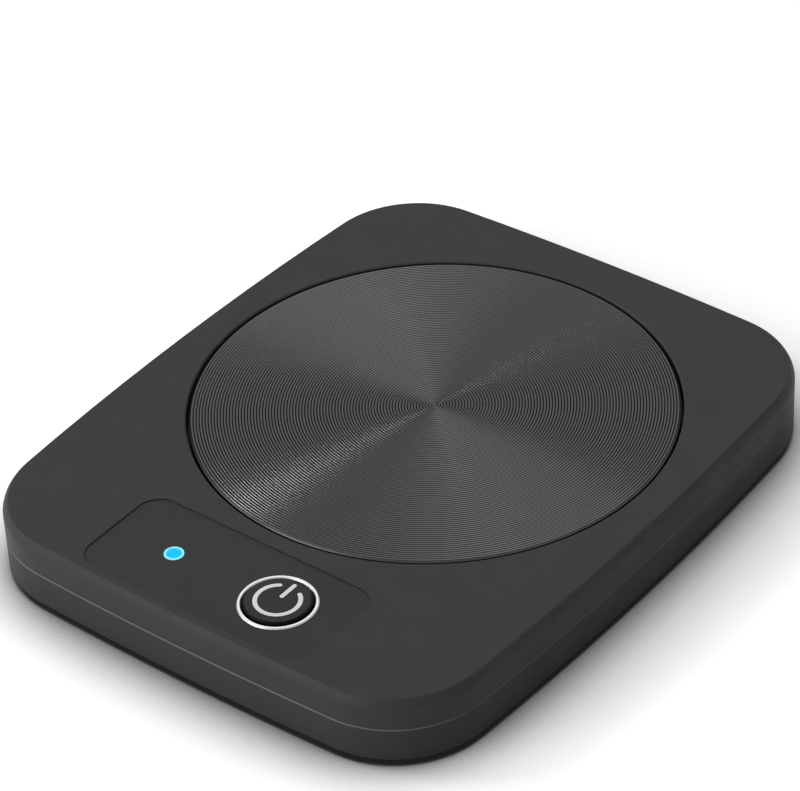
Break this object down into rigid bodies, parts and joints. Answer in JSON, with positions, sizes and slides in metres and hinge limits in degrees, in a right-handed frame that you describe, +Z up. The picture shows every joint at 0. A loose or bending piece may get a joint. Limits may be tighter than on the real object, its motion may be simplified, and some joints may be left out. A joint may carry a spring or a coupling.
{
  "type": "electric mug warmer",
  "caption": "Flat two-shell electric mug warmer with a round heating plate, a recessed control panel with a power push button and a status light, and a rear cord inlet.",
  "frame": {"origin": "centre of the bounding box at the feet's soles, under the middle of the body", "axes": "+Z up, +Y towards the rear with the cord inlet, +X to the right as seen from the front, where the control panel is"},
  "size_m": [0.1072, 0.1308, 0.0151],
  "materials": {
    "housing_plastic": "fine matte texture, black",
    "base_plastic": "fine matte texture, black",
    "panel_plastic": "smooth satin, black",
    "button_plastic": "satin, dark grey",
    "ring_metal": "bright silver",
    "symbol_print": "pale grey",
    "lens_blue": "clear blue, lit",
    "bezel_pale": "pale cyan",
    "plate_metal": "black coated, fine concentric turned lines",
    "silicone": "grey silicone",
    "mica": "mica and foil, tan",
    "pad_felt": "ceramic felt, off white",
    "steel": "plain zinc plated",
    "sensor_ceramic": "ceramic",
    "lead_red": "silicone insulated, red",
    "lead_white": "silicone insulated, white",
    "board_green": "solder masked, green",
    "chip_black": "moulded epoxy",
    "cap_sleeve": "sleeved, dark blue",
    "terminal_plastic": "moulded, green",
    "foot_rubber": "matte, black"
  },
  "bodies": {
    "base": {"top_housing": "housing_plastic", "base_cover": "base_plastic", "control_panel": "panel_plastic", "button_ring": "ring_metal", "led_lens": "lens_blue", "led_bezel": "bezel_pale", "heating_plate": "plate_metal", "plate_seal": "silicone", "heater_element": "mica", "insulation_pad": "pad_felt", "clamp_plate": "steel", "clamp_screws": "steel", "thermistor": "sensor_ceramic", "thermistor_clip": "steel", "thermal_fuse": "sensor_ceramic", "heater_leads": "lead_red", "sensor_leads": "lead_white", "control_board": "board_green", "board_screws": "steel", "tactile_switch": "chip_black", "indicator_led": "lens_blue", "control_chip": "chip_black", "triac": "chip_black", "capacitor": "cap_sleeve", "terminal_block": "terminal_plastic", "cord_gland": "foot_rubber", "housing_screws": "steel", "foot_front_left": "foot_rubber", "foot_front_right": "foot_rubber", "foot_rear_left": "foot_rubber", "foot_rear_right": "foot_rubber"},
    "power_button": {"button_cap": "button_plastic", "power_symbol": "symbol_print", "switch_plunger": "chip_black"}
  },
  "joints": [
    {"name": "power_button_press", "type": "slide", "parent": "base", "child": "power_button", "axis": [0, 0, -1], "range_m": [0, 0.0005], "stiffness_N_per_m": 300, "springref_m": -0.001}
  ]
}
